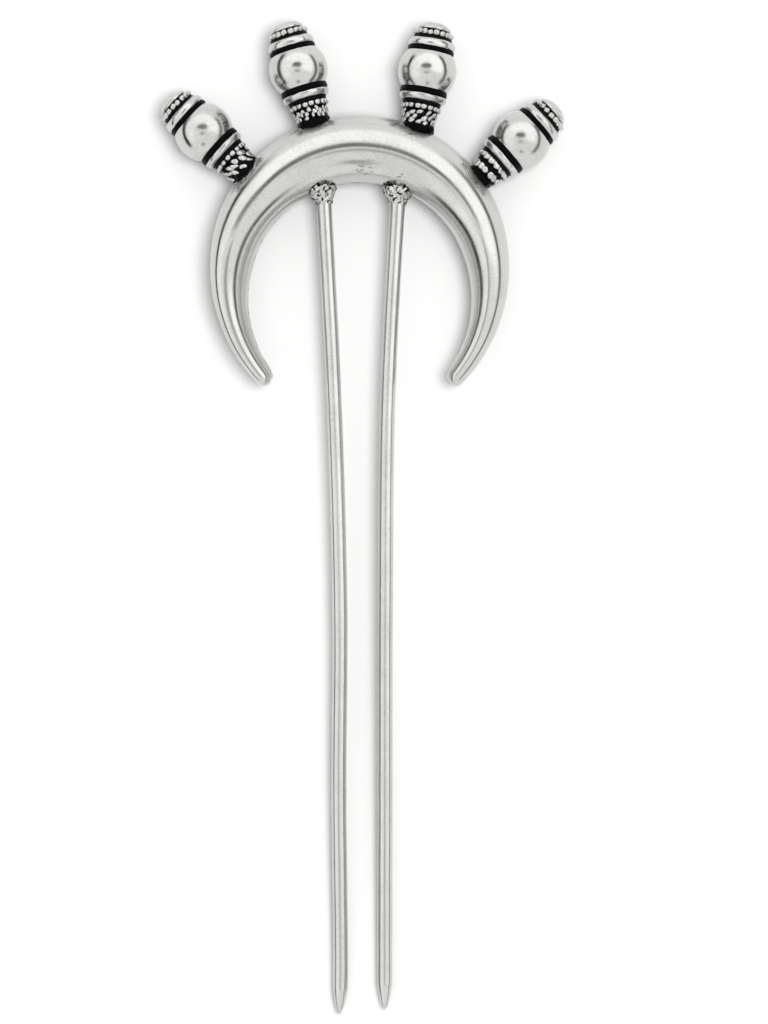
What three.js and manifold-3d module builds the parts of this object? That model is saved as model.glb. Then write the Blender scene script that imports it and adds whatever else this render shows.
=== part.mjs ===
// A hair pin with two prongs: a hollow crescent, four beaded finials on its outer edge, and two long round prongs.
// It lies on its back. +Z comes out of its front, and +Y runs from the prong tips to the finials.
// Each half of the crescent is a pressed shell, and the two meet on the plane that also holds every finial's axis.
import * as THREE from "three";
import { LoftGeometry } from "three/addons/geometries/LoftGeometry.js";
import { mergeVertices } from "three/addons/utils/BufferGeometryUtils.js";
import Module from "manifold-3d";

const wasm = await Module();
wasm.setup();

// Driving dimensions, in millimetres and degrees. x and y start at the centre of the crescent's outer circle, z at
// the surface that the pin lies on, and an angle is measured from +Y towards +X.
const SEAM_HEIGHT = 4.4;
const GAP = 0.05; // clearance between two pieces that are soldered together

const CRESCENT = {
  outerRadius: 22.4,
  innerRadius: 16.5,
  innerDrop: 4.2, // the inner circle's centre lies this far below the outer circle's
  hornAngle: 143, // where each horn ends
  flareAngle: 84, // beyond this angle the horns open outwards from the two circles
  flare: 1.25, // how far they have opened at their ends
  depth: 4.6, // of one shell at the crown
  hornDepth: 1.3, // depth of a horn's shell over half the horn's width
  innerPower: 1.6, // the inner flank is a superellipse of this power, and the outer flank is round
  wall: 0.8,
  cavityAngle: 134, // the horns are solid beyond this angle
  stations: 26,
  sides: 18,
};

// seat is the angle of a finial's foot on the outer circle, and rise is how far the foot stands off that circle.
const FINIALS = [
  { seat: -50.6, lean: -47, rise: 0.1 },
  { seat: -18, lean: -16.2, rise: 0 },
  { seat: 22.7, lean: 9.8, rise: 0.25 },
  { seat: 53.9, lean: 48, rise: 0 },
];

// The turned pieces of a finial, from the crescent outwards. from and to are heights above the finial's foot, low
// and high are the radii there, and round is how far the two edges are rounded back.
const STACK = {
  neck: { from: 0.95, to: 1.95, low: 2.2, high: 2.55, round: 0.15, finish: "antiqued" },
  lower_bead_ring: { from: 2, to: 3.45, low: 2.45, high: 3, round: 0.1, beads: 18, finish: "antiqued" },
  lower_band: { from: 3.5, to: 4.6, low: 3.4, high: 3.6, round: 0.4, finish: "polished" },
  lower_spacer: { from: 4.65, to: 5.4, low: 3.55, high: 3.5, round: 0.05, finish: "oxidised" },
  upper_spacer: { from: 10.95, to: 11.55, low: 3.5, high: 3.5, round: 0.05, finish: "oxidised" },
  upper_band: { from: 11.6, to: 12.9, low: 3.6, high: 3.4, round: 0.4, finish: "polished" },
  upper_bead_ring: { from: 12.95, to: 14.25, low: 3.05, high: 2.3, round: 0.1, beads: 18, finish: "antiqued" },
};
const RING_SIDES = 14;
const BEAD_WIDTH_SHARE = 0.82; // a bead's width over its height
const BALL = { centre: 8.18, radius: 4.38, halfHeight: 2.73, sides: 18, bands: 6 };
const CAP = { from: 14.3, to: 15.45, low: 2.45, high: 1.75, round: 0.3 };
const POST = { radius: 0.8, from: -2.2, to: 15 };
const FILLET = { from: -1.3, to: 0.9, low: 2.6, high: 2.2 };

const PRONG = { radius: 1.14, noseLength: 3.7, noseShare: 0.3, sides: 12, stations: 14, noseStations: 3 };
// Points that each prong's centre line passes through, from the end inside the crescent to the tip.
const PRONG_ROUTES = {
  left: [[-5.55, 13.5], [-3.85, -20.3], [-3, -51.8], [-3.15, -79], [-2.9, -105.8], [-3.1, -113]],
  right: [[5.9, 13.3], [4.2, -20.3], [3.85, -51.8], [3.8, -79], [3.75, -105.8], [3.75, -112.3]],
};
// A collar's axis lies aside from its prong's.
const COLLAR = { above: 1, below: 2.1, wide: 2.2, narrow: 1.5, waist: 0.6, aside: -0.25 };

const FINISHES = {
  polished: new THREE.MeshStandardMaterial({ color: 0xc9c7c3, roughness: 0.22, metalness: 1 }),
  drawn: new THREE.MeshStandardMaterial({ color: 0xbebcb8, roughness: 0.34, metalness: 1 }),
  antiqued: new THREE.MeshStandardMaterial({ color: 0x93908b, roughness: 0.42, metalness: 1 }),
  oxidised: new THREE.MeshStandardMaterial({ color: 0x1d1c1d, roughness: 0.6, metalness: 0.8 }),
};

const FRONT = new THREE.Vector3(0, 0, 1);
const radians = THREE.MathUtils.degToRad;
const lerp = THREE.MathUtils.lerp;

// A closed geometry as a manifold-3d solid.
function solidOf(geometry) {
  const bare = new THREE.BufferGeometry();
  bare.setAttribute("position", geometry.attributes.position);
  bare.setIndex(geometry.index);
  const merged = mergeVertices(bare, 1e-4);
  const vertProperties = merged.attributes.position.array;
  return new wasm.Manifold(
    new wasm.Mesh({ numProp: 3, vertProperties, triVerts: new Uint32Array(merged.index.array) }),
  );
}

function geometryOf(solid) {
  const mesh = solid.getMesh();
  const geometry = new THREE.BufferGeometry();
  geometry.setAttribute("position", new THREE.BufferAttribute(mesh.vertProperties, 3));
  geometry.setIndex(new THREE.BufferAttribute(mesh.triVerts, 1));
  geometry.computeVertexNormals();
  return geometry;
}

function meshOf(name, geometry, finish) {
  const mesh = new THREE.Mesh(geometry, FINISHES[finish]);
  mesh.name = name;
  return mesh;
}

// The distance from the outer circle's centre to the crescent's inner edge at an angle.
function innerEdge(angle) {
  const drop = CRESCENT.innerDrop;
  return Math.sqrt(CRESCENT.innerRadius ** 2 - (drop * Math.sin(angle)) ** 2) - drop * Math.cos(angle);
}

// How far a horn has opened outwards at an angle.
function flareAt(angle) {
  const start = radians(CRESCENT.flareAngle);
  const share = Math.max(0, Math.abs(angle) - start) / (radians(CRESCENT.hornAngle) - start);
  return CRESCENT.flare * share ** 1.7;
}

// The depth of a shell for half the crescent's width there, level over the crown and falling along the horns.
function shellDepth(halfWidth) {
  const horn = CRESCENT.hornDepth * halfWidth;
  return (horn + CRESCENT.depth - Math.hypot(horn - CRESCENT.depth, 0.28)) / 2;
}

// The oval section across the crescent at an angle, grown by a margin and shrunk by a share near a horn's end.
function crescentSection(angle, grow, share) {
  const inner = innerEdge(angle);
  const middle = (CRESCENT.outerRadius + inner) / 2 + flareAt(angle);
  const halfWidth = (CRESCENT.outerRadius - inner) / 2;
  const width = (halfWidth + grow) * share;
  const depth = (shellDepth(halfWidth) + grow) * share;
  const radial = new THREE.Vector3(Math.sin(angle), Math.cos(angle), 0);
  const section = [];
  for (let i = 0; i < CRESCENT.sides; i++) {
    const turn = (i / CRESCENT.sides) * 2 * Math.PI;
    const power = Math.cos(turn) < 0 ? 2 / CRESCENT.innerPower : 1;
    const across = Math.sign(Math.cos(turn)) * Math.abs(Math.cos(turn)) ** power;
    const up = Math.sign(Math.sin(turn)) * Math.abs(Math.sin(turn)) ** power;
    const point = radial.clone().multiplyScalar(middle + width * across);
    point.z = SEAM_HEIGHT + depth * up;
    section.push(point);
  }
  return section;
}

// The crescent's outside, with a rounded end on each horn.
function crescentBody(grow = 0) {
  const end = radians(CRESCENT.hornAngle);
  const tipRadius = (CRESCENT.outerRadius - innerEdge(end)) / 2;
  const roundAngle = tipRadius / (CRESCENT.outerRadius - tipRadius);
  const straight = end - roundAngle;
  const rounding = [85, 60, 30].map(radians);
  const sections = [];
  for (const turn of rounding) {
    sections.push(crescentSection(-straight - roundAngle * Math.sin(turn), grow, Math.cos(turn)));
  }
  for (let i = 0; i <= CRESCENT.stations; i++) {
    sections.push(crescentSection(lerp(-straight, straight, i / CRESCENT.stations), grow, 1));
  }
  for (const turn of rounding.reverse()) {
    sections.push(crescentSection(straight + roundAngle * Math.sin(turn), grow, Math.cos(turn)));
  }
  return new LoftGeometry(sections, { capStart: true, capEnd: true });
}

// The hollow inside the two shells.
function crescentCavity() {
  const end = radians(CRESCENT.cavityAngle);
  const sections = [];
  for (let i = 0; i <= CRESCENT.stations; i++) {
    sections.push(crescentSection(lerp(-end, end, i / CRESCENT.stations), -CRESCENT.wall, 1));
  }
  return new LoftGeometry(sections, { capStart: true, capEnd: true });
}

// A slab wide enough to hold the whole crescent, between two heights.
function slab(bottom, top) {
  const width = 3 * CRESCENT.outerRadius;
  return new THREE.BoxGeometry(width, width, top - bottom).translate(0, 0, (bottom + top) / 2);
}

// A round piece about the local Y axis. Its profile runs up the outside, and its hole takes the post.
function turned(profile, hole, sides) {
  const closed = [[hole, profile[0][1]], ...profile, [hole, profile.at(-1)[1]], [hole, profile[0][1]]];
  return new THREE.LatheGeometry(closed.map(([r, y]) => new THREE.Vector2(r, y)), sides);
}

// The outside of a ring with rounded edges, as radius and height pairs. An edge that is hardly rounded is a chamfer.
function ringOutline({ from, to, low, high, round }) {
  const steps = round > 0.1 ? 3 : 1;
  const outline = [];
  for (let i = 0; i <= steps; i++) {
    const across = -Math.cos((i / steps) * Math.PI);
    const share = (across + 1) / 2;
    const radius = lerp(low, high, share) - round * (1 - Math.sqrt(1 - across ** 2));
    outline.push([radius, lerp(from, to, share)]);
  }
  return outline;
}

function ring(piece) {
  const core = turned(ringOutline(piece), POST.radius + GAP, piece.beads ?? RING_SIDES);
  if (!piece.beads) return core;
  const beadRadius = (piece.to - piece.from) / 2 - GAP;
  let solid = solidOf(core);
  for (let i = 0; i < piece.beads; i++) {
    const bead = new THREE.SphereGeometry(beadRadius, 4, 3);
    bead.scale(BEAD_WIDTH_SHARE, 1, BEAD_WIDTH_SHARE);
    bead.translate(0, (piece.from + piece.to) / 2, (piece.low + piece.high) / 2);
    bead.rotateY(((i + 0.5) / piece.beads) * 2 * Math.PI);
    solid = solid.add(solidOf(bead));
  }
  return geometryOf(solid);
}

function ball() {
  const outline = [];
  for (let i = 0; i <= BALL.bands; i++) {
    const height = lerp(-BALL.halfHeight, BALL.halfHeight, i / BALL.bands);
    outline.push([Math.sqrt(BALL.radius ** 2 - height ** 2), BALL.centre + height]);
  }
  return turned(outline, POST.radius + GAP, BALL.sides);
}

// The cap has a blind hole for the end of the post.
function cap() {
  const hole = POST.radius + GAP;
  const floor = POST.to + GAP;
  const outline = [[0, floor], [hole, floor], [hole, CAP.from], ...ringOutline(CAP), [0, CAP.to]];
  return new THREE.LatheGeometry(outline.map(([r, y]) => new THREE.Vector2(r, y)), RING_SIDES);
}

function post(grow = 0) {
  const length = POST.to - POST.from;
  const shaft = new THREE.CylinderGeometry(POST.radius + grow, POST.radius + grow, length, RING_SIDES);
  return shaft.translate(0, POST.from + length / 2, 0);
}

// Cuts the crescent's outside, with clearance, out of a piece that stands in a local frame on its surface.
function coped(geometry, frame) {
  const crescent = crescentBody(GAP).applyMatrix4(frame.clone().invert());
  return geometryOf(solidOf(geometry).subtract(solidOf(crescent)));
}

// A local frame at a point of the seam plane, with its Y axis leaning by an angle.
function frameAt(x, y, lean) {
  const frame = new THREE.Group();
  frame.position.set(x, y, SEAM_HEIGHT);
  frame.rotation.z = -lean;
  frame.updateMatrix();
  return frame;
}

function finial({ seat, lean, rise }, number) {
  const radius = CRESCENT.outerRadius + rise;
  const group = frameAt(radius * Math.sin(radians(seat)), radius * Math.cos(radians(seat)), radians(lean));
  const flare = [[FILLET.low, FILLET.from], [FILLET.low, 0], [FILLET.high, FILLET.to]];
  const fillet = turned(flare, POST.radius + GAP, RING_SIDES);
  const prefix = `finial_${number}_`;
  group.add(meshOf(prefix + "post", post(), "drawn"));
  group.add(meshOf(prefix + "solder_fillet", coped(fillet, group.matrix), "oxidised"));
  for (const [name, piece] of Object.entries(STACK)) {
    group.add(meshOf(prefix + name, ring(piece), piece.finish));
  }
  group.add(meshOf(prefix + "ball", ball(), "polished"));
  group.add(meshOf(prefix + "cap", cap(), "polished"));
  return group;
}

// A prong's centre line. It leaves the crescent in the seam plane and bows down until it lies on the surface.
function prongCurve(route) {
  const top = route[0][1];
  const landing = route.at(-1)[1] + PRONG.noseLength;
  const points = route.map(([x, y]) => {
    const share = Math.min(1, (top - y) / (top - landing));
    const drop = (SEAM_HEIGHT - PRONG.radius) * (1 - Math.cos((share * Math.PI) / 2));
    return new THREE.Vector3(x, y, SEAM_HEIGHT - drop);
  });
  return new THREE.CatmullRomCurve3(points);
}

// A round section across a prong at a share of its length.
function prongSection(curve, share, radius) {
  const along = curve.getTangentAt(share);
  const side = FRONT.clone().cross(along).normalize();
  const front = new THREE.Vector3().crossVectors(along, side);
  const centre = curve.getPointAt(share);
  const section = [];
  for (let i = 0; i < PRONG.sides; i++) {
    const turn = (i / PRONG.sides) * 2 * Math.PI;
    const point = centre.clone().addScaledVector(side, radius * Math.cos(turn));
    section.push(point.addScaledVector(front, radius * Math.sin(turn)));
  }
  return section;
}

function prong(route, grow = 0) {
  const curve = prongCurve(route);
  const noseStart = 1 - PRONG.noseLength / curve.getLength();
  const radius = PRONG.radius + grow;
  const sections = [];
  for (let i = 0; i <= PRONG.stations; i++) {
    sections.push(prongSection(curve, (noseStart * i) / PRONG.stations, radius));
  }
  for (let i = 1; i <= PRONG.noseStations; i++) {
    const share = i / PRONG.noseStations;
    const taper = lerp(1, PRONG.noseShare, share ** 1.5);
    sections.push(prongSection(curve, lerp(noseStart, 1, share), radius * taper));
  }
  return new LoftGeometry(sections, { capStart: true, capEnd: true });
}

// The mound of solder that holds a prong to the crescent's inner edge.
function prongCollar(route) {
  const [top, next] = route;
  const lean = Math.atan2(top[0] - next[0], top[1] - next[1]);
  const seat = Math.atan2(top[0], top[1] + CRESCENT.innerDrop);
  const x = CRESCENT.innerRadius * Math.sin(seat) + COLLAR.aside;
  const y = CRESCENT.innerRadius * Math.cos(seat) - CRESCENT.innerDrop;
  const frame = frameAt(x, y, lean);
  const outline = [[COLLAR.narrow, -COLLAR.below], [COLLAR.wide, -COLLAR.waist], [COLLAR.wide, COLLAR.above]];
  const mound = coped(turned(outline, PRONG.radius / 2, RING_SIDES), frame.matrix).applyMatrix4(frame.matrix);
  return geometryOf(solidOf(mound).subtract(solidOf(prong(route, GAP))));
}

// The front and back shells, with half-round notches at the seam for the posts and the prongs.
function crescentShells(finials) {
  let shell = solidOf(crescentBody()).subtract(solidOf(crescentCavity()));
  for (const frame of finials) {
    shell = shell.subtract(solidOf(post(GAP).applyMatrix4(frame.matrix)));
  }
  for (const route of Object.values(PRONG_ROUTES)) {
    shell = shell.subtract(solidOf(prong(route, GAP)));
  }
  const halfGap = GAP / 2;
  return {
    front: shell.intersect(solidOf(slab(SEAM_HEIGHT + halfGap, 3 * SEAM_HEIGHT))),
    back: shell.intersect(solidOf(slab(0, SEAM_HEIGHT - halfGap))),
  };
}

const pin = new THREE.Group();
const finials = FINIALS.map((place, i) => finial(place, i + 1));
const shells = crescentShells(finials);
pin.add(meshOf("crescent_front_shell", geometryOf(shells.front), "polished"));
pin.add(meshOf("crescent_back_shell", geometryOf(shells.back), "polished"));
pin.add(...finials);
for (const [side, route] of Object.entries(PRONG_ROUTES)) {
  pin.add(meshOf(`prong_${side}`, prong(route), "drawn"));
  pin.add(meshOf(`prong_collar_${side}`, prongCollar(route), "antiqued"));
}

// The part's origin is the middle of its footprint on the surface that it lies on.
const footprint = new THREE.Box3().setFromObject(pin, true).getCenter(new THREE.Vector3());
pin.position.set(-footprint.x, -footprint.y, 0);
const group = new THREE.Group();
group.add(pin);

export default group;
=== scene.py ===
"""A silver hair pin: a hollow crescent, four beaded finials and two drawn prongs, lying on a pale studio floor."""

import sys

import logging
import math
from dataclasses import dataclass
from enum import Enum
from random import Random
from typing import Callable

import bmesh
import bpy
from mathutils import Matrix, Vector, noise


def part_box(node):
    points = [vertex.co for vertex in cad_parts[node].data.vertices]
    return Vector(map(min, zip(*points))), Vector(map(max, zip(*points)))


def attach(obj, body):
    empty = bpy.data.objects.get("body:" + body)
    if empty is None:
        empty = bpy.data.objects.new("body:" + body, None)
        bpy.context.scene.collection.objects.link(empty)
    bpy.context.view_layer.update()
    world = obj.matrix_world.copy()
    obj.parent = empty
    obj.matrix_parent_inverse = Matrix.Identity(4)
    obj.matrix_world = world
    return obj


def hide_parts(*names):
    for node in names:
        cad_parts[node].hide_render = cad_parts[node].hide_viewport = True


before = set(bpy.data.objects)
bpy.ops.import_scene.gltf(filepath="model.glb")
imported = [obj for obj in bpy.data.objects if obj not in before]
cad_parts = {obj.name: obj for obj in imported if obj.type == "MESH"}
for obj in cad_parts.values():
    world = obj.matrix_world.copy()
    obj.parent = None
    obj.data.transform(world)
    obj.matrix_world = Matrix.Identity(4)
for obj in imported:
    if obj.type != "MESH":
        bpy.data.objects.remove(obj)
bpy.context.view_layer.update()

LOG = logging.getLogger("hair_pin")
MM = 0.001  # every size below is in millimetres, and angles are in degrees
SEAM_HEIGHT = 4.4  # where the two shells meet, above the surface that the pin lies on
SEAM_GAP = 0.025
RECESS = "recess"  # how deep a spot lies among the beads and strands around it, from 0 to 1

Place = Callable[[float, float], Vector]


class Slot(Enum):
    """The record's material slots."""

    POLISHED = "polished_silver"
    DRAWN = "drawn_silver"
    ANTIQUED = "antiqued_silver"
    OXIDISED = "oxidised_silver"


def clamp(value: float, low: float = 0.0, high: float = 1.0) -> float:
    """Returns value kept between low and high."""
    return max(low, min(high, value))


def blend(low: float, high: float, share: float) -> float:
    """Returns the number that lies at a share of the way from low to high."""
    return low + (high - low) * share


def ease(low: float, high: float, value: float) -> float:
    """Returns 0 below low, 1 above high, and a smooth rise between them."""
    share = clamp((value - low) / (high - low))
    return share * share * (3 - 2 * share)


# ---------------------------------------------------------------- shaders


class Level:
    """A number that changes over a surface. Arithmetic on it adds Math nodes."""

    def __init__(self, shader: "Shader", socket: bpy.types.NodeSocket) -> None:
        """Wraps an output socket of a shader."""
        self.shader = shader
        self.socket = socket

    def __add__(self, other: "Level | float") -> "Level":
        """Returns the sum."""
        return self.shader.maths("ADD", self, other)

    def __sub__(self, other: "Level | float") -> "Level":
        """Returns the difference."""
        return self.shader.maths("SUBTRACT", self, other)

    def __rsub__(self, other: float) -> "Level":
        """Returns a plain number less this level."""
        return self.shader.maths("SUBTRACT", other, self)

    def __mul__(self, other: "Level | float") -> "Level":
        """Returns the product."""
        return self.shader.maths("MULTIPLY", self, other)

    def __truediv__(self, other: "Level | float") -> "Level":
        """Returns the quotient."""
        return self.shader.maths("DIVIDE", self, other)

    def __abs__(self) -> "Level":
        """Returns the size without the sign."""
        return self.shader.maths("ABSOLUTE", self)

    __radd__ = __add__
    __rmul__ = __mul__


class Shader:
    """Builds one node tree, a node at a time."""

    def __init__(self, tree: bpy.types.NodeTree) -> None:
        """Empties a tree and keeps it."""
        self.tree = tree
        tree.nodes.clear()

    def node(self, kind: str, settings: dict | None = None, sockets: dict | None = None) -> bpy.types.Node:
        """Adds a node.

        Args:
            kind: the node's type.
            settings: the node's own settings.
            sockets: values or links for its inputs, by name or number.

        Returns:
            The new node.
        """
        made = self.tree.nodes.new(kind)
        for key, value in (settings or {}).items():
            setattr(made, key, value)
        for key, value in (sockets or {}).items():
            if isinstance(value, Level):
                self.tree.links.new(value.socket, made.inputs[key])
            elif isinstance(value, bpy.types.NodeSocket):
                self.tree.links.new(value, made.inputs[key])
            else:
                made.inputs[key].default_value = value
        return made

    def level(self, kind: str, settings: dict | None = None, sockets: dict | None = None, out: str | int = 0) -> Level:
        """Adds a node as node() does, and returns its output called out."""
        return Level(self, self.node(kind, settings, sockets).outputs[out])

    def maths(self, operation: str, *values: "Level | float") -> Level:
        """Returns the result of a Math node."""
        return self.level("ShaderNodeMath", {"operation": operation}, dict(enumerate(values)))

    def smooth(self, value: Level, low: float, high: float) -> Level:
        """Returns 0 where value is at low, 1 where it is at high, and a smooth step between."""
        return self.level(
            "ShaderNodeMapRange",
            {"interpolation_type": "SMOOTHSTEP"},
            {"Value": value, "From Min": low, "From Max": high},
        )

    def choose(self, share: "Level | float", low: "Level | float", high: "Level | float") -> Level:
        """Returns a number mixed from two by a share."""
        return self.level("ShaderNodeMix", {"data_type": "FLOAT"}, {0: share, 2: low, 3: high})

    def tint(self, share: Level, low: object, high: object) -> bpy.types.NodeSocket:
        """Returns a colour mixed from two by a share."""
        return self.node("ShaderNodeMix", {"data_type": "RGBA"}, {0: share, 6: low, 7: high}).outputs[2]

    def grain(self, where: Level, size: float, detail: float = 3.0, roughness: float = 0.5) -> Level:
        """Returns a noise whose features are about size millimetres across."""
        sockets = {"Vector": where, "Scale": 1 / (size * MM), "Detail": detail, "Roughness": roughness}
        return self.level("ShaderNodeTexNoise", {}, sockets, "Fac")

    def spot(self) -> Level:
        """Returns the place on the object, in metres."""
        return self.level("ShaderNodeTexCoord", {}, {}, "Object")

    def stretched(self, where: Level, scale: tuple[float, float, float]) -> Level:
        """Returns a place scaled along its three axes."""
        return self.level("ShaderNodeMapping", {}, {"Vector": where, "Scale": scale})

    def apart(self, where: Level, point: Vector) -> Level:
        """Returns the distance in millimetres from a point given in millimetres."""
        sockets = {0: where, 1: tuple(point * MM)}
        return self.level("ShaderNodeVectorMath", {"operation": "DISTANCE"}, sockets, "Value") / MM


@dataclass(frozen=True)
class Mark:
    """A patch of tarnish on a polished surface, where something was soldered to it."""

    centre: Vector
    reach: float
    strength: float


@dataclass(frozen=True)
class SilverFinish:
    """A worn silver surface, with scratches, soft dents and tarnish."""

    name: str
    tone: tuple[float, float, float] = (0.605, 0.602, 0.592)
    dark: tuple[float, float, float] = (0.012, 0.012, 0.013)
    roughness: float = 0.16
    dent_size: float = 2.2
    dent_depth: float = 0.006
    scratch_depth: float = 0.0012
    lines: tuple[float, float, float] | None = None  # how the surface map is stretched for lengthwise lines
    line_depth: float = 0.0015
    marks: tuple[Mark, ...] = ()
    tarnish: float = 0.12
    recessed: bool = False
    seam: float | None = None  # height of a blackened seam
    filed: Mark | None = None  # file marks in rings round a point
    scuffs: tuple[Mark, ...] = ()  # patches of short dark scratches that run along X

    def material(self) -> bpy.types.Material:
        """Returns the finish as a material."""
        made = bpy.data.materials.new(self.name)
        made.use_nodes = True
        shader = Shader(made.node_tree)
        spot = shader.spot()
        dirt = self._dirt(shader, spot)
        cloud = shader.grain(spot, 6.0, 4, 0.6)
        fine = shader.grain(spot, 0.35, 3, 0.6)
        wear = shader.smooth(fine * 0.5 + cloud * 0.6, 0.45, 0.75)
        worn = tuple(c * (1 - self.tarnish) for c in self.tone)
        colour = shader.tint(wear, (*self.tone, 1), (*worn, 1))
        colour = shader.tint(dirt, colour, (*self.dark, 1))
        roughness = shader.choose(dirt, self.roughness + (cloud - 0.5) * 0.12 + wear * 0.05, 0.62)
        surface = shader.node(
            "ShaderNodeBsdfPrincipled",
            {},
            {
                "Base Color": colour,
                "Metallic": 1.0,
                "Roughness": roughness,
                "Normal": self._relief(shader, spot, fine, dirt),
            },
        )
        shader.node("ShaderNodeOutputMaterial", {}, {"Surface": surface.outputs[0]})
        return made

    def _dirt(self, shader: Shader, spot: Level) -> Level:
        """Returns how black the surface is, from 0 to 1."""
        ragged = shader.grain(spot, 0.5, 4, 0.65)
        specks = shader.grain(spot, 0.22, 2, 0.5)
        dirt = shader.smooth(specks * ragged, 0.4, 0.48) * 0.5
        for mark in self.marks:
            fade = 1 - shader.smooth(shader.apart(spot, mark.centre), 0.3 * mark.reach, mark.reach)
            dirt = dirt + shader.smooth(fade * 0.75 + ragged * 0.7, 0.75, 1.1) * mark.strength
        for scuff in self.scuffs:
            fade = 1 - shader.smooth(shader.apart(spot, scuff.centre), 0.2 * scuff.reach, scuff.reach)
            streaks = shader.grain(shader.stretched(spot, (1.0, 3.2, 1.0)), 0.9, 3, 0.6)
            dirt = dirt + shader.smooth(streaks + fade * 0.25, 0.74, 0.84) * fade * scuff.strength
        if self.recessed:
            recess = shader.level("ShaderNodeAttribute", {"attribute_name": RECESS}, {}, "Fac")
            dirt = dirt + shader.smooth(recess + (ragged - 0.5) * 0.5, 0.38, 0.62)
        if self.seam is not None:
            height = shader.level("ShaderNodeSeparateXYZ", {}, {0: spot}, "Z")
            near = 1 - shader.smooth(abs(height - self.seam * MM) / MM, 0.1, 0.32)
            broken = shader.smooth(shader.grain(spot, 1.4, 3, 0.7), 0.42, 0.56)
            dirt = dirt + near * broken * 0.9
        return shader.maths("MINIMUM", dirt, 1.0)

    def _relief(self, shader: Shader, spot: Level, fine: Level, dirt: Level) -> bpy.types.NodeSocket:
        """Returns the normal of the dented, scratched surface."""
        dents = shader.grain(spot, self.dent_size, 2, 0.45)
        height = dents * self.dent_depth + fine * self.scratch_depth - dirt * 0.01
        if self.lines:
            surface = shader.level("ShaderNodeUVMap", {"uv_map": "surface"}, {}, "UV")
            run = shader.stretched(surface, self.lines)
            lines = shader.level("ShaderNodeTexNoise", {}, {"Vector": run, "Scale": 1.0, "Detail": 4.0}, "Fac")
            height = height + lines * self.line_depth
        if self.filed:
            rings = shader.maths("SINE", shader.apart(spot, self.filed.centre) * 16)
            near = 1 - shader.smooth(shader.apart(spot, self.filed.centre), self.filed.reach * 0.6, self.filed.reach)
            height = height + rings * near * self.filed.strength
        bump = {"Height": height, "Distance": MM, "Strength": 1.0}
        return shader.node("ShaderNodeBump", {}, bump).outputs[0]


# ---------------------------------------------------------------- bench


class Bench:
    """Where a piece is worked in millimetres before it takes its place in the pin."""

    def __init__(self, name: str, recessed: bool = False) -> None:
        """Starts a piece, with a layer for its recesses where it has them."""
        self.name = name
        self.mesh = bmesh.new()
        self.surface = self.mesh.loops.layers.uv.new("surface")
        self.recess = self.mesh.verts.layers.float.new(RECESS) if recessed else None

    def drape(self, around: int, along: int, place: Place) -> list[bmesh.types.BMVert]:
        """Lays a grid over a shape, and welds it where its edges meet.

        Args:
            around: faces across the grid.
            along: faces along the grid.
            place: gives the point for a share across and a share along.

        Returns:
            The grid's vertices.
        """
        grid = bmesh.ops.create_grid(self.mesh, x_segments=around, y_segments=along, size=1.0, calc_uvs=True)
        for vertex in grid["verts"]:
            vertex.co = place((vertex.co.x + 1) / 2, (vertex.co.y + 1) / 2)
        bmesh.ops.remove_doubles(self.mesh, verts=grid["verts"], dist=1e-4)
        return [v for v in grid["verts"] if v.is_valid]

    def turn(self, outline: list[tuple[float, float]], steps: int, round_by: float = 0.0) -> None:
        """Spins an outline of radius and height pairs round the Y axis.

        Args:
            outline: the outline, which starts and ends on the axis or joins up with itself.
            steps: faces round the piece.
            round_by: how far the corners between its faces are rounded.
        """
        points = [self.mesh.verts.new((radius, height, 0)) for radius, height in outline]
        edges = [self.mesh.edges.new(pair) for pair in zip(points, points[1:])]
        bmesh.ops.spin(
            self.mesh,
            geom=points + edges,
            cent=(0, 0, 0),
            axis=(0, 1, 0),
            angle=math.tau,
            steps=steps,
            use_merge=True,
        )
        bmesh.ops.remove_doubles(self.mesh, verts=self.mesh.verts, dist=1e-4)
        self.face_outwards()
        if round_by:
            corners = [e for e in self.mesh.edges if e.is_manifold and e.calc_face_angle() > math.radians(30)]
            self.round_off(corners, round_by, 3)

    def round_off(self, edges: list[bmesh.types.BMEdge], offset: float, segments: int) -> None:
        """Rounds edges by an offset."""
        bmesh.ops.bevel(
            self.mesh,
            geom=edges,
            offset=offset,
            offset_type="OFFSET",
            segments=segments,
            profile=0.5,
            affect="EDGES",
            clamp_overlap=True,
            material=-1,
        )

    def face_outwards(self) -> None:
        """Turns every face outwards."""
        bmesh.ops.recalc_face_normals(self.mesh, faces=self.mesh.faces)

    def roughen(self, size: float, depth: float, seed: float, vertices: list | None = None) -> None:
        """Pushes vertices in and out along their normals by a noise.

        Args:
            size: how wide the bumps are.
            depth: how far they reach.
            seed: which noise it is.
            vertices: the vertices to move, or None for all.
        """
        self.mesh.normal_update()
        shift = Vector((seed * 7.3, seed * 3.1, seed * 5.7))
        for vertex in vertices or self.mesh.verts:
            vertex.co += vertex.normal * (noise.noise(vertex.co / size + shift) * depth)

    def hand_over(
        self, finish: bpy.types.Material, nodes: list[str], place: Matrix | None = None, sharp: float = 50
    ) -> bpy.types.Object:
        """Makes the finished piece.

        Args:
            finish: its material.
            nodes: the CAD nodes that it stands for.
            place: where the piece sits in the pin, in millimetres.
            sharp: edges that turn by more than this stay sharp.

        Returns:
            The piece.
        """
        scale = Matrix.Scale(MM, 4)
        bmesh.ops.transform(self.mesh, matrix=scale @ (place or Matrix.Identity(4)), verts=self.mesh.verts)
        data = bpy.data.meshes.new(self.name)
        self.mesh.to_mesh(data)
        self.mesh.free()
        data.shade_smooth()
        data.set_sharp_from_angle(angle=math.radians(sharp))
        data.materials.append(finish)
        piece = bpy.data.objects.new(self.name, data)
        bpy.context.scene.collection.objects.link(piece)
        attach(piece, "root")
        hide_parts(*nodes)
        LOG.info("%s: %d faces", self.name, len(data.polygons))
        return piece


# ---------------------------------------------------------------- crescent


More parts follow.
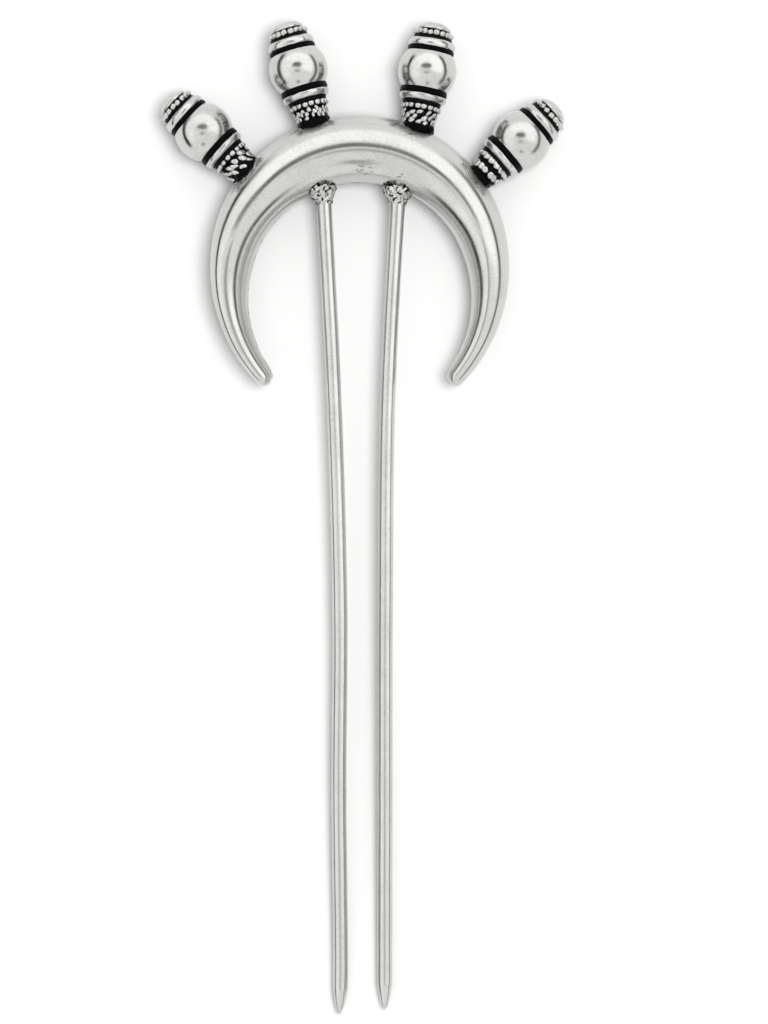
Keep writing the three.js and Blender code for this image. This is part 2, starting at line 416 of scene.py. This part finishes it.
@dataclass(frozen=True)
class Section:
    """The shape of one shell's section, by how full its two flanks are. A flank of powers 2 is round."""

    crest: float  # how far the ridge lies from mid-width towards the outer edge, as a share of half the width
    outer: float
    inner_width: float
    inner_height: float

    def mixed(self, other: "Section", share: float) -> "Section":
        """Returns the section that lies at a share of the way to another one."""
        return Section(
            blend(self.crest, other.crest, share),
            blend(self.outer, other.outer, share),
            blend(self.inner_width, other.inner_width, share),
            blend(self.inner_height, other.inner_height, share),
        )

    def point(self, share: float) -> tuple[float, float]:
        """Returns a point of the section.

        Args:
            share: 0 at the outer edge and 1 at the inner edge.

        Returns:
            Its place across the width, from 1 to -1, and its height over the seam as a share of the depth.
        """
        turn = share * math.pi
        if share < 0.5:
            reach = max(math.cos(turn), 0.0) ** (2 / self.outer)
            return self.crest + (1 - self.crest) * reach, math.sin(turn) ** (2 / self.outer)
        past = turn - math.pi / 2
        reach = math.sin(past) ** (2 / self.inner_width)
        return self.crest - (1 + self.crest) * reach, max(math.cos(past), 0.0) ** (2 / self.inner_height)


@dataclass
class Crescent:
    """The hollow crescent, pressed in two shells that are soldered at mid-height."""

    outer_radius: float = 22.4
    inner_radius: float = 16.5
    inner_drop: float = 4.2
    horn_angle: float = 143.0
    flare_angle: float = 84.0
    flare: float = 1.25  # how far the horns open outwards from the two circles
    depth: float = 4.6
    horn_depth: float = 1.26  # a horn's depth over half its width
    crown: Section = Section(-0.03, 1.8, 1.79, 1.78)
    left_horn: Section = Section(0.13, 2.6, 1.56, 1.29)
    right_horn: Section = Section(-0.065, 2.03, 1.45, 1.64)
    crown_angle: float = 47.0  # where the crown's section starts to change into the horns'
    horn_start: float = 105.0
    wall: float = 0.8
    cavity_angle: float = 134.0
    stations: int = 420
    facets: int = 44

    def __post_init__(self) -> None:
        """Finds the centre of the outer circle from the CAD shells."""
        low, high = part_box("crescent_front_shell")
        self.centre = Vector(((low.x + high.x) / 2 / MM, high.y / MM - self.outer_radius, SEAM_HEIGHT))

    def edges(self, angle: float) -> tuple[float, float]:
        """Returns how far the outer and the inner edge are from the centre at an angle in radians."""
        start = math.radians(self.flare_angle)
        past = max(0.0, abs(angle) - start) / (math.radians(self.horn_angle) - start)
        opened = self.flare * past**1.7
        drop = self.inner_drop
        inner = math.sqrt(self.inner_radius**2 - (drop * math.sin(angle)) ** 2) - drop * math.cos(angle)
        return self.outer_radius + opened, inner + opened

    def section(self, angle: float) -> Section:
        """Returns the section at an angle in radians."""
        horn = self.right_horn if angle > 0 else self.left_horn
        return self.crown.mixed(horn, ease(self.crown_angle, self.horn_start, abs(math.degrees(angle))))

    def point(self, side: int, inset: float, end: float, share: float, along: float) -> Vector:
        """Returns a point of a shell.

        Args:
            side: 1 on the front and -1 on the back.
            inset: how far the surface lies inside the outer one.
            end: the angle in degrees where each horn's surface ends.
            share: 0 at the outer edge and 1 at the inner edge.
            along: 0 at the left horn's end and 1 at the right one's.

        Returns:
            The point in the pin.
        """
        finish = math.radians(end)
        outer, inner = self.edges(finish)
        tip = (outer - inner) / 2 - inset
        rounding = max(tip, 0.2) / (outer - tip)
        straight = finish - rounding
        reach = (2 * along - 1) * finish
        excess = clamp((abs(reach) - straight) / rounding)
        shrink = math.sqrt(max(1 - excess**2, 0.0))
        outer, inner = self.edges(reach)
        half = (outer - inner) / 2
        across, height = self.section(reach).point(share)
        radius = (outer + inner) / 2 + (half - inset) * shrink * across
        level = side * max((self.shell_depth(half) - inset) * shrink * height, SEAM_GAP)
        point = self.centre + Vector((radius * math.sin(reach), radius * math.cos(reach), level))
        point.z = max(point.z, inset)
        return point

    def shell_depth(self, half: float) -> float:
        """Returns the depth of a shell for half the crescent's width, level over the crown and falling to the horns."""
        horn = self.horn_depth * half
        return (horn + self.depth - math.hypot(horn - self.depth, 0.28)) / 2

    def front_height(self, spot: Vector) -> float:
        """Returns how high the front stands over the seam at a place, and 0 beside the crescent."""
        away = spot - self.centre
        angle = math.atan2(away.x, away.y)
        outer, inner = self.edges(angle)
        half = (outer - inner) / 2
        across = (math.hypot(away.x, away.y) - (outer + inner) / 2) / half
        section = self.section(angle)
        if abs(across) >= 1 or across > section.crest:
            return 0.0
        reach = (section.crest - across) / (1 + section.crest)
        return self.shell_depth(half) * (1 - reach**section.inner_width) ** (1 / section.inner_height)

    def shell(self, side: int, name: str, node: str, finish: bpy.types.Material) -> None:
        """Makes the front or the back shell, with its inner wall and its soldered rim."""
        bench = Bench(name)
        outer = bench.drape(self.facets, self.stations, lambda s, a: self.point(side, 0, self.horn_angle, s, a))
        bench.roughen(7.0, 0.03, 1.0 + side, outer)
        bench.drape(self.facets, self.stations, lambda s, a: self.point(side, self.wall, self.cavity_angle, s, a))
        for vertex in bench.mesh.verts:
            if vertex.is_boundary:
                vertex.co.z = SEAM_HEIGHT + side * SEAM_GAP
        bmesh.ops.bridge_loops(bench.mesh, edges=[e for e in bench.mesh.edges if e.is_boundary])
        bench.face_outwards()
        bench.hand_over(finish, [node])

    def build(self, finish: bpy.types.Material) -> None:
        """Makes both shells."""
        self.shell(1, "crescent_front", "crescent_front_shell", finish)
        self.shell(-1, "crescent_back", "crescent_back_shell", finish)


# ---------------------------------------------------------------- finials


class Weave(Enum):
    """How a finial's neck is worked."""

    SPLASHED = "splashed"
    BLOBBED = "blobbed"
    TWISTED = "twisted"
    COILED = "coiled"


@dataclass(frozen=True)
class Strands:
    """The strands of a finial's neck, and the solder below them."""

    start: float  # where the strands begin, above the finial's foot
    foot: float  # radius of the solder on the crescent
    waist: float  # radius of the neck on the solder
    rows: int
    count: int
    slant: float
    length: float
    width: float


WEAVES = {
    Weave.SPLASHED: Strands(-0.1, 2.55, 2.4, 3, 9, 50, 1.5, 0.42),
    Weave.BLOBBED: Strands(0.45, 2.5, 2.3, 3, 14, 20, 0.9, 0.36),
    Weave.TWISTED: Strands(0.05, 2.6, 2.3, 3, 11, -50, 1.25, 0.42),
    Weave.COILED: Strands(0.4, 2.1, 2.1, 1, 15, 25, 1.5, 0.62),
}


@dataclass(frozen=True)
class Beads:
    """The beads of one ring. Width is over their spacing and height over the ring's."""

    count: int
    width: float
    height: float
    squareness: float  # 1 for square beads and 0 for round ones
    slant: float


ROUND_BEADS = Beads(17, 0.84, 0.74, 0.5, 0)
DASH_BEADS = Beads(17, 0.95, 0.84, 0.8, 24)
BLOCK_BEADS = Beads(18, 0.92, 0.88, 0.95, 14)


@dataclass(frozen=True)
class Ring:
    """A turned ring of a finial: where it starts and ends on the axis, and its radius at each end."""

    start: float
    stop: float
    low: float
    high: float

    @property
    def middle(self) -> float:
        """The height of its middle."""
        return (self.start + self.stop) / 2

    def radius(self, height: float) -> float:
        """Returns its radius at a height."""
        return blend(self.low, self.high, clamp((height - self.start) / (self.stop - self.start)))


@dataclass(frozen=True)
class Finishes:
    """The materials of the pin."""

    crescent: bpy.types.Material
    ball: bpy.types.Material
    band: bpy.types.Material
    wire: bpy.types.Material
    antiqued: bpy.types.Material
    oxidised: bpy.types.Material


@dataclass
class Finial:
    """A finial: a neck, two beaded rings, two bands and two black spacers on either side of a ball."""

    number: int
    weave: Weave
    ball_height: float = 8.18
    ball_radius: float = 4.4
    ball_half: float = 2.73
    bore: float = 0.85
    neck_top: float = 1.95
    neck_radius: float = 2.6
    lower_beads: Ring = Ring(2.0, 3.45, 2.65, 3.25)
    lower_band: Ring = Ring(3.5, 4.6, 3.4, 3.65)
    lower_spacer: Ring = Ring(4.65, 5.4, 3.58, 3.5)
    upper_spacer: Ring = Ring(10.95, 11.55, 3.5, 3.5)
    upper_band: Ring = Ring(11.6, 12.9, 3.65, 3.4)
    upper_beads: Ring = Ring(12.95, 14.25, 3.3, 2.5)
    cap: Ring = Ring(14.3, 15.45, 2.45, 1.75)
    solder_start: float = -1.3
    steps: int = 72

    def __post_init__(self) -> None:
        """Finds the finial's axis from its two CAD spacers, and seeds its random draws."""
        self.random = Random(self.number)
        self.strands = WEAVES[self.weave]
        low, high = (self._centre(self._node(part)) for part in ("lower_spacer", "upper_spacer"))
        axis = (high - low).normalized()
        self.base = self._centre(self._node("ball")) - axis * self.ball_height
        lean = math.atan2(axis.x, axis.y)
        self.place = Matrix.Translation(self.base) @ Matrix.Rotation(-lean, 4, "Z")

    @staticmethod
    def _centre(node: str) -> Vector:
        """Returns the middle of a CAD node in millimetres."""
        low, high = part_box(node)
        return (low + high) / 2 / MM

    def _node(self, part: str) -> str:
        """Returns the name of one of this finial's CAD nodes."""
        return f"finial_{self.number}_{part}"

    def _bench(self, part: str, recessed: bool = False) -> Bench:
        """Starts one of this finial's pieces."""
        return Bench(f"silver_finial_{self.number}_{part}", recessed)

    def _finish(self, bench: Bench, part: str, material: bpy.types.Material, sharp: float = 50) -> None:
        """Hands one of this finial's pieces over."""
        bench.hand_over(material, [self._node(part)], self.place, sharp)

    def _bored(self, outside: list[tuple[float, float]]) -> list[tuple[float, float]]:
        """Returns an outline with the post's bore down its middle."""
        foot, head = outside[0][1], outside[-1][1]
        return [(self.bore, foot), *outside, (self.bore, head), (self.bore, foot)]

    def make_ball(self, material: bpy.types.Material) -> None:
        """Makes the polished ball, cut flat where the spacers meet it."""
        bench = self._bench("ball_body")
        outline = []
        for i in range(25):
            height = blend(-self.ball_half, self.ball_half, i / 24)
            outline.append((math.sqrt(self.ball_radius**2 - height**2), self.ball_height + height))
        bench.turn(self._bored(outline), 96)
        skin = [v for v in bench.mesh.verts if math.hypot(v.co.x, v.co.z) > 2 * self.bore]
        bench.roughen(2.6, 0.035, self.number, skin)
        self._finish(bench, "ball", material)

    def make_band(self, part: str, ring: Ring, material: bpy.types.Material) -> None:
        """Makes a half-round band with shallow knocks."""
        bench = self._bench(part + "_round")
        half = (ring.stop - ring.start) / 2
        outline = []
        for i in range(13):
            turn = blend(-90, 90, i / 12)
            height = ring.middle + half * math.sin(math.radians(turn))
            outline.append((ring.radius(height) - 0.5 * (1 - math.cos(math.radians(turn)) ** 0.8), height))
        bench.turn(self._bored(outline), self.steps)
        skin = [v for v in bench.mesh.verts if math.hypot(v.co.x, v.co.z) > 2 * self.bore]
        bench.roughen(1.1, 0.06, self.number + ring.start, skin)
        self._finish(bench, part, material, 70)

    def make_spacer(self, part: str, ring: Ring, material: bpy.types.Material) -> None:
        """Makes a black spacer with worn edges."""
        bench = self._bench(part + "_disc")
        bench.turn(self._bored([(ring.low, ring.start), (ring.high, ring.stop)]), self.steps, 0.1)
        bench.roughen(0.6, 0.05, self.number + ring.start)
        self._finish(bench, part, material, 70)

    def make_beads(self, part: str, ring: Ring, beads: Beads, finish: bpy.types.Material) -> None:
        """Makes a ring of small beads on a black core."""
        bench = self._bench(part + "_row", recessed=True)
        depth = 0.3
        bench.turn(self._bored([(ring.low - depth, ring.start), (ring.high - depth, ring.stop)]), self.steps)
        for vertex in bench.mesh.verts:
            vertex[bench.recess] = 1.0
        spacing = math.tau * (ring.radius(ring.middle) - 0.1) / beads.count
        flare = math.atan2(ring.low - ring.high, ring.stop - ring.start)
        draw = self.random.uniform
        for i in range(beads.count):
            turn = (i + draw(0.42, 0.58)) / beads.count * math.tau
            size = Vector((spacing * beads.width, (ring.stop - ring.start) * beads.height, 0.6)) * draw(0.9, 1.06)
            where = (
                Matrix.Rotation(turn, 4, "Y")
                @ Matrix.Translation((0, ring.middle + draw(-0.04, 0.04), ring.radius(ring.middle) - 0.3))
                @ Matrix.Rotation(flare, 4, "X")
                @ Matrix.Rotation(math.radians(beads.slant + draw(-8, 8)), 4, "Z")
                @ Matrix.Diagonal((*size, 1))
            )
            self._bead(bench, where, beads.squareness)
        for vertex in bench.mesh.verts:
            radial = math.hypot(vertex.co.x, vertex.co.z)
            lift = (radial - ring.radius(vertex.co.y) + depth) / depth
            vertex[bench.recess] = 1 - ease(0.2, 0.75, lift)
        self._finish(bench, part, finish, 80)

    def _bead(self, bench: Bench, where: Matrix, squareness: float) -> None:
        """Adds a bead, made from a cube whose edges are rounded off."""
        made = bmesh.ops.create_cube(bench.mesh, size=1.0)
        edges = list({e for v in made["verts"] for e in v.link_edges})
        before = set(bench.mesh.verts) - set(made["verts"])
        bench.round_off(edges, blend(0.42, 0.24, squareness), 2)
        bead = [v for v in bench.mesh.verts if v not in before]
        bmesh.ops.transform(bench.mesh, matrix=where, verts=bead)

    def make_cap(self, material: bpy.types.Material) -> None:
        """Makes the small domed cap."""
        bench = self._bench("cap_dome")
        cap = self.cap
        outline = [
            (0, cap.start),
            (cap.low, cap.start),
            (cap.low + 0.05, cap.start + 0.35),
            (cap.high + 0.15, cap.stop - 0.3),
            (cap.high - 0.35, cap.stop - 0.05),
            (0, cap.stop),
        ]
        bench.turn(outline, self.steps, 0.16)
        bench.roughen(0.9, 0.07, self.number)
        self._finish(bench, "cap", material, 60)

    def make_neck(self, material: bpy.types.Material) -> None:
        """Makes the neck of rough strands between the lower beads and the solder."""
        bench = self._bench("neck_strands", recessed=True)
        strands = self.strands
        neck = Ring(strands.start, self.neck_top, strands.waist, self.neck_radius)
        bench.turn(self._bored([(neck.low - 0.2, neck.start), (neck.high - 0.2, neck.stop)]), self.steps)
        for row in range(strands.rows):
            for i in range(strands.count):
                self._strand(bench, neck, (i + 0.5 * row) / strands.count, (row + 0.5) / strands.rows)
        bench.roughen(0.35, 0.14, self.number)
        for vertex in bench.mesh.verts:
            lift = math.hypot(vertex.co.x, vertex.co.z) - neck.radius(vertex.co.y)
            vertex[bench.recess] = 1 - ease(-0.16, 0.08, lift)
        self._finish(bench, "neck", material, 80)

    def _strand(self, bench: Bench, neck: Ring, share: float, level: float) -> None:
        """Adds one strand of the neck, a stretched lump that leans round the axis."""
        draw = self.random.uniform
        strands = self.strands
        height = blend(neck.start, neck.stop, clamp(level + draw(-0.1, 0.1)))
        where = (
            Matrix.Rotation(share * math.tau + draw(-0.1, 0.1), 4, "Y")
            @ Matrix.Translation((0, height, neck.radius(height) - 0.12))
            @ Matrix.Rotation(math.radians(strands.slant + draw(-16, 16)), 4, "Z")
            @ Matrix.Diagonal((strands.width * draw(0.75, 1.15), 0.5 * strands.length * draw(0.8, 1.15), 0.3, 1))
        )
        bmesh.ops.create_icosphere(bench.mesh, subdivisions=2, radius=1.0, matrix=where)

    def make_fillet(self, material: bpy.types.Material) -> None:
        """Makes the black solder between the neck and the crescent."""
        bench = self._bench("solder_seat")
        foot, waist, top = self.strands.foot, self.strands.waist, self.strands.start + 0.05
        outline = [(foot - 0.2, self.solder_start), (foot, -0.4), (blend(foot, waist, 0.5), 0.45 * top), (waist - 0.05, top)]
        bench.turn(self._bored(outline), self.steps)
        bmesh.ops.subdivide_edges(bench.mesh, edges=bench.mesh.edges, cuts=1, use_grid_fill=True)
        skin = [v for v in bench.mesh.verts if math.hypot(v.co.x, v.co.z) > 1.5 * self.bore]
        bench.roughen(0.8, 0.22, self.number, skin)
        self._finish(bench, "solder_fillet", material, 80)

    def build(self, finishes: Finishes) -> None:
        """Makes every piece of the finial, and dresses its CAD post."""
        self.make_fillet(finishes.oxidised)
        self.make_neck(finishes.antiqued)
        lower = DASH_BEADS if self.weave is Weave.COILED else ROUND_BEADS
        self.make_beads("lower_bead_ring", self.lower_beads, lower, finishes.antiqued)
        self.make_band("lower_band", self.lower_band, finishes.band)
        self.make_spacer("lower_spacer", self.lower_spacer, finishes.oxidised)
        self.make_ball(finishes.ball)
        self.make_spacer("upper_spacer", self.upper_spacer, finishes.oxidised)
        self.make_band("upper_band", self.upper_band, finishes.band)
        self.make_beads("upper_bead_ring", self.upper_beads, BLOCK_BEADS, finishes.antiqued)
        self.make_cap(finishes.band)
        dress(self._node("post"), finishes.wire)


# ---------------------------------------------------------------- prongs


@dataclass
class Prong:
    """A prong of round drawn wire, which bows down from the crescent until it lies on the surface."""

    side: str
    route: tuple[tuple[float, float], ...]  # from the end inside the crescent to the tip
    crescent: Crescent
    collar_aside: float = -0.3  # how far the solder leans aside where it meets the crescent
    radius: float = 1.14
    nose: float = 3.9
    stations: int = 260
    facets: int = 28

    def __post_init__(self) -> None:
        """Sets the route out from the crescent's centre."""
        self.points = [self.crescent.centre + Vector((x, y, 0)) for x, y in self.route]
        landing = self.points[-1].y + self.nose
        top = self.points[0].y
        for point in self.points:
            share = min(1.0, (top - point.y) / (top - landing))
            point.z = SEAM_HEIGHT - (SEAM_HEIGHT - self.radius) * (1 - math.cos(share * math.pi / 2))
        self.length = sum((b - a).length for a, b in zip(self.points, self.points[1:]))

    def centre_line(self, share: float) -> Vector:
        """Returns a point of the wire's centre line, on a smooth curve through the route."""
        last = len(self.points) - 2
        walked = share * self.length
        step = 0
        while step < last and walked > (self.points[step + 1] - self.points[step]).length:
            walked -= (self.points[step + 1] - self.points[step]).length
            step += 1
        start, stop = self.points[step], self.points[step + 1]
        before = self.points[step - 1] if step else start * 2 - stop
        after = self.points[step + 2] if step < last else stop * 2 - start
        span = (stop - start).length
        t = walked / span
        leave = (stop - before) * (span / ((start - before).length + span))
        arrive = (after - start) * (span / ((after - stop).length + span))
        return (
            start * (2 * t**3 - 3 * t**2 + 1)
            + leave * (t**3 - 2 * t**2 + t)
            + stop * (3 * t**2 - 2 * t**3)
            + arrive * (t**3 - t**2)
        )

    def point(self, around: float, along: float) -> Vector:
        """Returns a point of the wire's surface."""
        nose_share = self.nose / self.length
        stretch = 1 - nose_share
        share = along / 0.9 * stretch if along < 0.9 else stretch + (along - 0.9) / 0.1 * nose_share
        left = (1 - share) * self.length
        radius = self.radius * (math.sqrt(clamp(left / self.nose)) if left < self.nose else 1.0)
        if along == 0:
            radius = 0.0
        centre = self.centre_line(share)
        ahead = (self.centre_line(min(share + 0.002, 1)) - self.centre_line(max(share - 0.002, 0))).normalized()
        across = Vector((0, 0, 1)).cross(ahead).normalized()
        front = ahead.cross(across)
        turn = around * math.tau
        return centre + across * (radius * math.cos(turn)) + front * (radius * math.sin(turn))

    def build(self, finishes: Finishes) -> None:
        """Makes the prong and the solder collar where it enters the crescent."""
        bench = Bench(f"silver_prong_{self.side}")
        bench.drape(self.facets, self.stations, self.point)
        bench.face_outwards()
        bench.roughen(5.0, 0.02, len(self.side))
        bench.hand_over(finishes.wire, [f"prong_{self.side}"], sharp=70)
        self.make_collar(finishes.antiqued)

    def make_collar(self, material: bpy.types.Material) -> None:
        """Makes the pitted mound of solder round the prong, black where it meets the crescent."""
        bench = Bench(f"silver_collar_{self.side}", recessed=True)
        above, below, wide = 0.35, 2.3, 2.4
        outline = [(0.0, -below)]
        for i in range(34):
            height = blend(-below, above, i / 33)
            outline.append((blend(wide, self.radius + 0.08, ease(-0.3, below, -height)), height))
        outline.append((0.0, above))
        bench.turn(outline, 96)
        for vertex in bench.mesh.verts:
            vertex.co.x += self.collar_aside * ease(-below, 0, vertex.co.y)
        seed = len(self.side)
        bench.roughen(0.6, 0.2, seed)
        bench.roughen(0.26, 0.12, seed + 2)
        place = self._collar_place()
        for vertex in bench.mesh.verts:
            pit = noise.noise(vertex.co / 0.42 + Vector((seed, 0, 0)))
            spot = place @ vertex.co
            gap = spot.z - SEAM_HEIGHT - self.crescent.front_height(spot)
            vertex[bench.recess] = clamp(ease(0.14, 0.4, pit) + 1 - ease(0.15, 0.4, abs(gap)))
        bench.hand_over(material, [f"prong_collar_{self.side}"], place, 80)

    def _collar_place(self) -> Matrix:
        """Returns where the prong crosses the crescent's inner edge, with Y up the prong."""
        top, below = self.route[0], self.route[1]
        edge = math.sqrt(self.crescent.inner_radius**2 - top[0] ** 2) - self.crescent.inner_drop
        spot = Vector((blend(top[0], below[0], (top[1] - edge) / (top[1] - below[1])), edge, 0))
        lean = math.atan2(top[0] - below[0], top[1] - below[1])
        return Matrix.Translation(self.crescent.centre + spot) @ Matrix.Rotation(-lean, 4, "Z")


def dress(node: str, material: bpy.types.Material) -> None:
    """Gives a CAD node that stays in the pin its finish."""
    piece = bpy.data.objects[node]
    piece.data.materials.clear()
    piece.data.materials.append(material)


# ---------------------------------------------------------------- studio


@dataclass(frozen=True)
class Card:
    """A soft-edged panel of the light tent, set by its azimuth from +Y towards +X and its angle from overhead."""

    azimuth: float
    zenith: float
    half_azimuth: float
    half_zenith: float
    radiance: float
    softness: float = 6.0

    def mask(self, shader: Shader, x: Level, y: Level, z: Level) -> Level:
        """Returns 1 on the panel and 0 off it."""
        degrees = 180 / math.pi
        facing = x * math.sin(math.radians(self.azimuth)) + y * math.cos(math.radians(self.azimuth))
        level = shader.maths("SQRT", x * x + y * y)
        turn = shader.maths("ARCCOSINE", facing / level) * degrees
        down = abs(shader.maths("ARCCOSINE", z) * degrees - self.zenith)
        soft = self.softness
        sides = 1 - shader.smooth(turn, self.half_azimuth - 2 * soft, self.half_azimuth + 2 * soft)
        ends = 1 - shader.smooth(down, self.half_zenith - soft / 2, self.half_zenith + soft / 2)
        return sides * ends


@dataclass(frozen=True)
class Opening:
    """An oval dark opening near the top of the tent, in degrees from overhead."""

    x: float
    y: float
    half_x: float
    half_y: float
    radiance: float

    def mask(self, shader: Shader, x: Level, y: Level, z: Level) -> Level:
        """Returns 1 in the opening and 0 outside it."""
        degrees = 180 / math.pi
        across = (x * degrees - self.x) / self.half_x
        along = (y * degrees - self.y) / self.half_y
        reach = shader.maths("SQRT", across * across + along * along)
        return (1 - shader.smooth(reach, 0.75, 1.25)) * shader.smooth(z, 0.0, 0.2)


@dataclass
class Studio:
    """A white tent over a pale floor, with a soft key light a little to the right."""

    tent: float = 1.12
    backdrop: float = 1.0
    floor_size: float = 3.0
    floor_tone: float = 0.5
    key_zenith: float = 12.0
    key_distance: float = 0.7
    key_size: float = 0.35
    key_power: float = 5.6
    camera_x: float = 3.645  # from the centre of the crescent's outer circle, in millimetres
    camera_y: float = -37.125
    camera_height: float = 480.0
    lens: float = 112.5
    cards: tuple = (
        Card(0, 48.4, 80, 18.7, 1.55, 10),
        Card(60, 38, 42, 22, 1.58, 4),
        Card(-90, 50, 42, 14.7, 1.32, 6),
        Card(90, 75.1, 50, 6.4, 0.1, 5),
        Card(-90, 83.8, 50, 9.1, 0.04, 4),
        Opening(-3, 14, 19, 9.4, 0.2),
        Opening(-3, -11, 10.5, 5, 0.45),
        Opening(0, -46, 7, 4, 0.35),
    )

    def build_tent(self) -> None:
        """Paints the light tent on the world, and leaves a plain backdrop where the camera looks past the floor."""
        world = bpy.data.worlds.new("light_tent")
        world.use_nodes = True
        bpy.context.scene.world = world
        shader = Shader(world.node_tree)
        direction = shader.level("ShaderNodeTexCoord", {}, {}, "Generated")
        parts = shader.node("ShaderNodeSeparateXYZ", {}, {0: direction})
        x, y, z = (Level(shader, parts.outputs[i]) for i in range(3))
        radiance = self.tent
        for card in self.cards:
            radiance = shader.choose(card.mask(shader, x, y, z), radiance, card.radiance)
        tent = shader.node("ShaderNodeBackground", {}, {"Color": (1, 0.995, 0.985, 1), "Strength": radiance})
        plain = shader.node("ShaderNodeBackground", {}, {"Color": (1, 1, 1, 1), "Strength": self.backdrop})
        seen = shader.level("ShaderNodeLightPath", {}, {}, "Is Camera Ray")
        mixed = shader.node("ShaderNodeMixShader", {}, {0: seen, 1: tent.outputs[0], 2: plain.outputs[0]})
        shader.node("ShaderNodeOutputWorld", {}, {"Surface": mixed.outputs[0]})

    def build_floor(self) -> None:
        """Lays the floor, a smooth white board with a faint tooth."""
        data = bpy.data.meshes.new("floor")
        board = bmesh.new()
        bmesh.ops.create_grid(board, x_segments=8, y_segments=8, size=self.floor_size / 2)
        board.to_mesh(data)
        board.free()
        floor = bpy.data.objects.new("floor", data)
        bpy.context.scene.collection.objects.link(floor)
        material = bpy.data.materials.new("white_board")
        material.use_nodes = True
        shader = Shader(material.node_tree)
        tooth = shader.grain(shader.spot(), 0.6, 3)
        bump = shader.node("ShaderNodeBump", {}, {"Height": tooth, "Distance": 0.02 * MM, "Strength": 0.3})
        tone = self.floor_tone
        sockets = {"Base Color": (tone, tone, tone, 1), "Roughness": 0.9, "Normal": bump.outputs[0]}
        board_shader = shader.node("ShaderNodeBsdfPrincipled", {}, sockets)
        board_shader.inputs["Specular IOR Level"].default_value = 0.1
        shader.node("ShaderNodeOutputMaterial", {}, {"Surface": board_shader.outputs[0]})
        data.materials.append(material)

    def build_key(self) -> None:
        """Hangs the key light, which the silver doesn't mirror."""
        data = bpy.data.lights.new("key", "AREA")
        data.shape = "DISK"
        data.size = self.key_size
        data.energy = self.key_power
        key = bpy.data.objects.new("key", data)
        tilt = math.radians(self.key_zenith)
        key.location = (self.key_distance * math.sin(tilt), 0.02, self.key_distance * math.cos(tilt))
        key.rotation_euler = (0, tilt, 0)
        key.visible_glossy = False
        bpy.context.scene.collection.objects.link(key)

    def build_camera(self, centre: Vector) -> None:
        """Hangs the camera straight above the pin."""
        data = bpy.data.cameras.new("camera")
        data.lens = self.lens
        data.clip_start = 0.01
        camera = bpy.data.objects.new("camera", data)
        spot = centre + Vector((self.camera_x, self.camera_y, self.camera_height))
        camera.location = spot * MM
        bpy.context.scene.collection.objects.link(camera)
        bpy.context.scene.camera = camera

    def build(self, centre: Vector) -> None:
        """Sets the whole studio up round the pin."""
        self.build_tent()
        self.build_floor()
        self.build_key()
        self.build_camera(centre)
        bpy.context.scene.view_settings.view_transform = "Standard"


def make_finishes(finials: list[Finial], prongs: list[Prong], crescent: Crescent) -> Finishes:
    """Mixes the materials, with tarnish on the crescent where each finial is soldered and in one more small patch."""
    reach = {1: 1.8, 2: 3.6, 3: 4.6, 4: 2.4}
    marks = [Mark(finial.base + Vector((0, 0, 2.0)), reach[finial.number], 0.5) for finial in finials]
    marks.append(Mark(crescent.centre + Vector((15.7, -8.9, 0)), 0.9, 1.0))
    scuffs = [
        Mark(crescent.centre + Vector((0.9, 14.0, 3.5)), 3.2, 0.5),
        Mark(crescent.centre + Vector((6.3, 13.0, 3.0)), 1.8, 0.7),
        Mark(finials[2].base + Vector((-1.0, -1.0, 2.5)), 3.0, 0.8),
    ]
    crown = SilverFinish(
        "crescent_silver",
        lines=(700.0, 12.0, 1.0),
        marks=tuple(marks),
        seam=SEAM_HEIGHT,
        filed=Mark(finials[3].base, 4.6, 0.02),
        scuffs=tuple(scuffs),
    )
    return Finishes(
        crescent=crown.material(),
        ball=SilverFinish("ball_silver", dent_size=1.1, dent_depth=0.014, scratch_depth=0.004, roughness=0.16).material(),
        band=SilverFinish("band_silver", dent_size=0.7, dent_depth=0.045, roughness=0.2, tarnish=0.2).material(),
        wire=SilverFinish("drawn_wire_silver", lines=(60.0, 8.0, 1.0), roughness=0.2, line_depth=0.004).material(),
        antiqued=SilverFinish("antiqued_silver", recessed=True, roughness=0.24, dent_size=0.5, dent_depth=0.04).material(),
        oxidised=SilverFinish(
            "oxidised_silver", tone=(0.006, 0.006, 0.0065), dark=(0.003, 0.003, 0.003), roughness=0.55, dent_size=0.4
        ).material(),
    )


def main() -> None:
    """Builds the pin in order, and logs how many faces each piece has."""
    logging.basicConfig(level=logging.INFO, format="%(message)s", stream=sys.stdout)
    crescent = Crescent()
    prongs = [
        Prong("left", ((-5.55, 13.5), (-3.85, -20.3), (-3, -51.8), (-3.15, -79), (-2.9, -105.8), (-3.1, -113)), crescent, -0.45),
        Prong("right", ((5.9, 13.3), (4.2, -20.3), (3.85, -51.8), (3.8, -79), (3.75, -105.8), (3.75, -112.3)), crescent, 0.0),
    ]
    finials = [Finial(number, weave) for number, weave in enumerate(Weave, 1)]
    finishes = make_finishes(finials, prongs, crescent)
    Studio().build(crescent.centre)
    crescent.build(finishes.crescent)
    for finial in finials:
        finial.build(finishes)
    for prong in prongs:
        prong.build(finishes)


if __name__ == "__main__":
    main()
